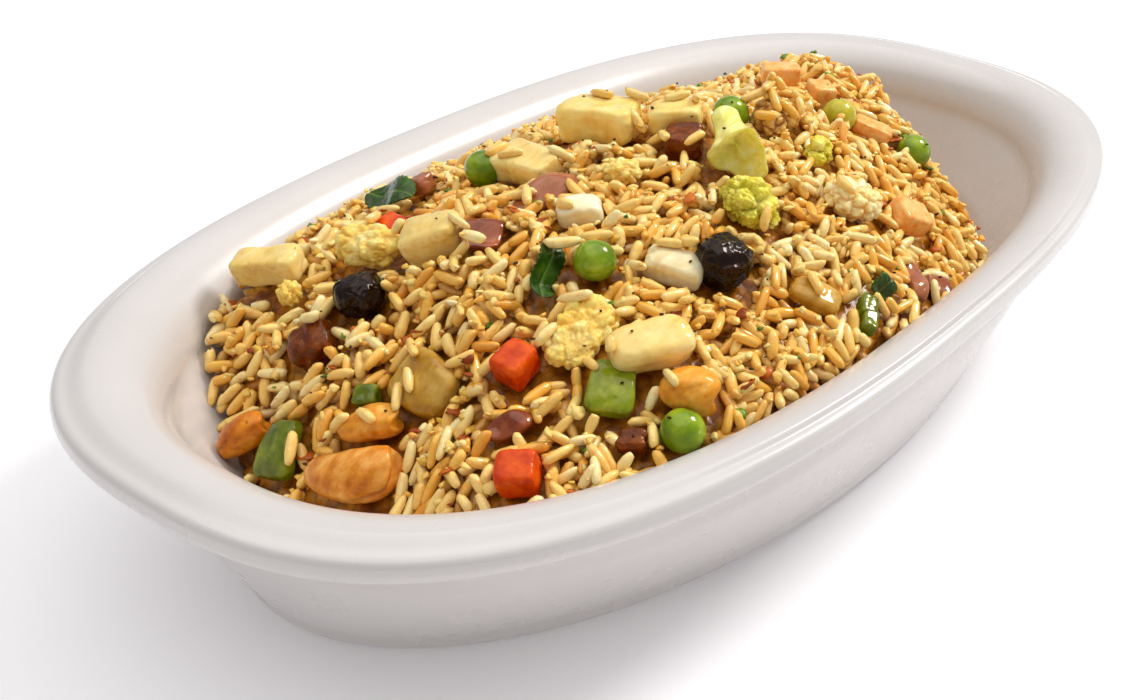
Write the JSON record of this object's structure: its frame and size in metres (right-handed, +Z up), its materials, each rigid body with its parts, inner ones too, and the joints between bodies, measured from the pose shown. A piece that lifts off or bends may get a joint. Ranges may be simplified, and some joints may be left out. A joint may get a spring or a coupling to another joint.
{
  "type": "fried rice plate",
  "caption": "Oval rimmed white dish heaped with vegetable fried rice: peas, carrot, egg, cashews, raisins, pineapple, onion and greens; stands flat and serves as set food.",
  "frame": {"origin": "centre of the dish's oval at the level of its foot, where it stands", "axes": "+X along the dish's long axis towards the end that the rice leaves partly empty, +Y across it away from the viewer of the picture, +Z up"},
  "size_m": [0.25, 0.146, 0.0644],
  "materials": {
    "glaze": "smooth warm-white glaze with soft highlights",
    "rice": "glossy oiled grains, cream to golden brown",
    "pea": "smooth moist skin",
    "carrot": "moist cut faces",
    "cashew": "satin roasted nut",
    "roasted_nut": "oily browned skin",
    "raisin": "deeply wrinkled, glistening",
    "green_pepper": "moist, part translucent",
    "herb_leaf": "dark green, waxy",
    "broccoli": "soft cooked stem and grainy florets",
    "pineapple": "pale, translucent, wet",
    "onion": "translucent, wet",
    "shallot": "pink-mauve, translucent",
    "egg": "soft pale-yellow curds",
    "fried_rice_clump": "rice grains stuck together, golden brown",
    "browned_piece": "dark fried faces"
  },
  "bodies": {
    "root": {"bean_dark": "browned_piece", "broccoli_bud": "broccoli", "broccoli_floret": "broccoli", "broccoli_stalk": "broccoli", "browned_cube": "browned_piece", "browned_slab": "browned_piece", "carrot_back": "carrot", "carrot_flake": "carrot", "carrot_front": "carrot", "carrot_middle": "carrot", "carrot_right": "carrot", "carrot_sliver": "carrot", "carrot_top": "carrot", "cashew_charred": "roasted_nut", "cashew_front": "cashew", "cashew_middle": "roasted_nut", "cauliflower": "egg", "celery": "green_pepper", "dish": "glaze", "egg_bead": "egg", "egg_left": "egg", "egg_sheet": "egg", "egg_small": "egg", "fried_clump": "fried_rice_clump", "leaf_back": "herb_leaf", "leaf_centre": "herb_leaf", "leaf_right": "herb_leaf", "leek_left": "green_pepper", "nut_round": "roasted_nut", "onion_frosted": "onion", "onion_pale": "onion", "onion_slab": "onion", "onion_striped": "onion", "pea_back": "pea", "pea_centre": "pea", "pea_dark": "pea", "pea_far": "pea", "pea_front": "pea", "pea_right": "pea", "pepper_edge": "green_pepper", "pepper_front": "green_pepper", "pepper_right": "green_pepper", "pineapple_left": "pineapple", "pineapple_middle": "pineapple", "pineapple_slab": "pineapple", "pineapple_stick": "pineapple", "potato_big": "pineapple", "potato_small": "pineapple", "raisin_centre": "raisin", "raisin_left": "raisin", "rice": "rice", "shallot_bead": "shallot", "shallot_brown": "shallot", "shallot_dark": "shallot", "shallot_slice": "shallot", "shallot_sliver": "shallot", "shallot_strip": "shallot"}
  },
  "joints": []
}
